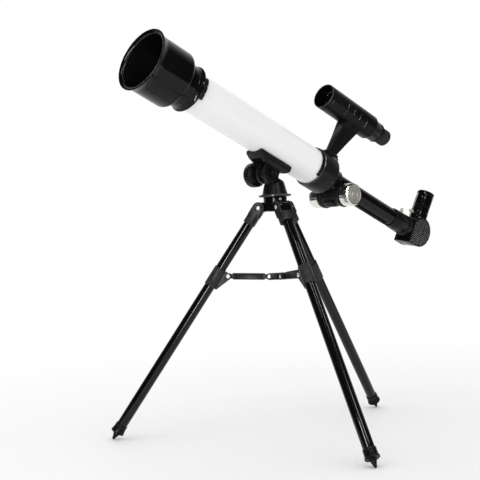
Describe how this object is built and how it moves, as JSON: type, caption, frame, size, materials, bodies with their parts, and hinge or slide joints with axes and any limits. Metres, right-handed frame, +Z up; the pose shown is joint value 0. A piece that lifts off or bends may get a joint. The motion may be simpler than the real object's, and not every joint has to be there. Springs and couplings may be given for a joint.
{
  "type": "telescope on tripod",
  "caption": "Small refracting telescope with a flared hood, finder, star diagonal and rack focuser on a folding table tripod.",
  "frame": {"origin": "middle of the box that holds the object, on the surface that the feet stand on", "axes": "+Z up; the tube looks towards -X and up, and its eyepiece end is at +X; the focuser knob on the -Y side is the near one"},
  "size_m": [0.5482, 0.404, 0.5152],
  "materials": {
    "black_alloy": "gloss black anodised tube",
    "chrome": "bright plated",
    "glass": "coated optical glass",
    "gloss_black": "polished black moulding",
    "plated_knob": "bright plated moulding",
    "satin_black": "satin black moulding",
    "silvered": "silvered glass",
    "steel": "bright steel",
    "white_enamel": "gloss white enamel on a drawn tube"
  },
  "bodies": {
    "crown": {"crown_hub": "satin_black", "azimuth_tension_screw": "steel"},
    "turntable": {"turntable_post": "satin_black", "swivel_bolt": "steel"},
    "tube": {"tube_saddle": "satin_black", "pivot_bolt": "satin_black", "main_tube": "white_enamel", "lens_cell": "gloss_black", "objective_lens": "glass", "lens_retaining_ring": "satin_black", "cell_clip": "satin_black", "dew_shield": "gloss_black", "rear_housing": "satin_black", "pinion_cover": "satin_black", "finder_stem": "satin_black", "finder_lock_nut": "satin_black", "finder_tube": "satin_black", "finder_objective": "glass"},
    "altitude_knob": {"altitude_knob": "satin_black"},
    "finder_focuser": {"finder_eyepiece": "satin_black", "finder_eye_lens": "glass"},
    "draw_tube": {"draw_tube": "gloss_black", "focus_rack": "satin_black", "draw_collar": "satin_black"},
    "pinion": {"focus_pinion": "steel", "focus_knob_near": "plated_knob", "focus_knob_far": "plated_knob"},
    "diagonal": {"diagonal_body": "gloss_black", "diagonal_plate_near": "satin_black", "diagonal_plate_far": "satin_black", "diagonal_mirror": "silvered"},
    "diagonal_thumbscrew": {"diagonal_thumbscrew": "chrome"},
    "eyepiece_thumbscrew": {"eyepiece_thumbscrew": "chrome"},
    "eyepiece": {"eyepiece_body": "gloss_black", "eyepiece_lens": "glass"},
    "spreader_hub": {"spreader_hub": "satin_black"},
    "leg_1": {"leg_head_1": "satin_black", "leg_tube_1": "black_alloy", "leg_bracket_1": "satin_black", "foot_cap_1": "satin_black", "arm_rivet_1": "steel", "leg_rivet_1": "steel"},
    "spreader_arm_1": {"spreader_arm_1": "satin_black"},
    "leg_2": {"leg_head_2": "satin_black", "leg_tube_2": "black_alloy", "leg_bracket_2": "satin_black", "foot_cap_2": "satin_black", "arm_rivet_2": "steel", "leg_rivet_2": "steel"},
    "spreader_arm_2": {"spreader_arm_2": "satin_black"},
    "leg_3": {"leg_head_3": "satin_black", "leg_tube_3": "black_alloy", "leg_bracket_3": "satin_black", "foot_cap_3": "satin_black", "arm_rivet_3": "steel", "leg_rivet_3": "steel"},
    "spreader_arm_3": {"spreader_arm_3": "satin_black"}
  },
  "joints": [
    {"name": "azimuth_swivel", "type": "hinge", "parent": "crown", "child": "turntable", "pos_m": [-0.04775, 0.01961, 0.31337], "axis": [0, 0, 1], "continuous": true},
    {"name": "altitude_tilt", "type": "hinge", "parent": "turntable", "child": "tube", "pos_m": [-0.05975, 0.01961, 0.34367], "axis": [0, 1, 0], "range_deg": [-35, 20]},
    {"name": "altitude_knob_turn", "type": "hinge", "parent": "tube", "child": "altitude_knob", "pos_m": [-0.05975, 0.03961, 0.34367], "axis": [0, 1, 0], "continuous": true},
    {"name": "finder_focus", "type": "slide", "parent": "tube", "child": "finder_focuser", "axis": [0.9135, 0, -0.4067], "range_m": [0, 0.006]},
    {"name": "focus_slide", "type": "slide", "parent": "tube", "child": "draw_tube", "axis": [0.9135, 0, -0.4067], "range_m": [-0.096, 0.02]},
    {"name": "focus_turn", "type": "hinge", "parent": "tube", "child": "pinion", "pos_m": [0.06872, 0.01961, 0.3131], "axis": [0, 1, 0], "range_deg": [-1380, 290]},
    {"name": "diagonal_turn", "type": "hinge", "parent": "draw_tube", "child": "diagonal", "pos_m": [0.19982, 0.01961, 0.27465], "axis": [0.9135, 0, -0.4067], "continuous": true},
    {"name": "diagonal_screw_turn", "type": "hinge", "parent": "draw_tube", "child": "diagonal_thumbscrew", "pos_m": [0.21221, 0.01961, 0.28774], "axis": [0.4067, 0, 0.9135], "continuous": true},
    {"name": "eyepiece_screw_turn", "type": "hinge", "parent": "diagonal", "child": "eyepiece_thumbscrew", "pos_m": [0.23132, 0.01621, 0.28885], "axis": [0.9135, 0, -0.4067], "continuous": true},
    {"name": "eyepiece_slide", "type": "slide", "parent": "diagonal", "child": "eyepiece", "axis": [0.4033, -0.1305, 0.9057], "range_m": [0, 0.02]},
    {"name": "leg_fold_1", "type": "hinge", "parent": "crown", "child": "leg_1", "pos_m": [-0.02608, 0.02343, 0.29937], "axis": [-0.1736, 0.9848, 0], "range_deg": [0, 27]},
    {"name": "leg_fold_2", "type": "hinge", "parent": "crown", "child": "leg_2", "pos_m": [-0.06189, 0.03646, 0.29937], "axis": [-0.766, -0.6428, 0], "range_deg": [0, 27]},
    {"name": "leg_fold_3", "type": "hinge", "parent": "crown", "child": "leg_3", "pos_m": [-0.05527, -0.00107, 0.29937], "axis": [0.9397, -0.342, 0], "range_deg": [0, 27]},
    {"name": "arm_fold_1", "type": "hinge", "parent": "leg_1", "child": "spreader_arm_1", "pos_m": [0.01804, 0.03121, 0.21198], "axis": [-0.1736, 0.9848, 0], "range_deg": [-103.7, 0]},
    {"name": "arm_fold_2", "type": "hinge", "parent": "leg_2", "child": "spreader_arm_2", "pos_m": [-0.09069, 0.07078, 0.21198], "axis": [-0.766, -0.6428, 0], "range_deg": [-103.7, 0]},
    {"name": "arm_fold_3", "type": "hinge", "parent": "leg_3", "child": "spreader_arm_3", "pos_m": [-0.07059, -0.04317, 0.21198], "axis": [0.9397, -0.342, 0], "range_deg": [-103.7, 0]},
    {"name": "hub_slide", "type": "slide", "parent": "crown", "child": "spreader_hub", "axis": [0, 0, 1], "range_m": [-0.0617, 0]}
  ],
  "couplings": [
    {"joint": "focus_turn", "follows": "focus_slide", "rad_per_m": 250},
    {"joint": "leg_fold_2", "follows": "leg_fold_1", "ratio": 1},
    {"joint": "leg_fold_3", "follows": "leg_fold_1", "ratio": 1},
    {"joint": "arm_fold_1", "follows": "leg_fold_1", "ratio": -3.8365},
    {"joint": "arm_fold_2", "follows": "leg_fold_1", "ratio": -3.8365},
    {"joint": "arm_fold_3", "follows": "leg_fold_1", "ratio": -3.8365},
    {"joint": "hub_slide", "follows": "leg_fold_1", "m_per_rad": -0.1306}
  ]
}
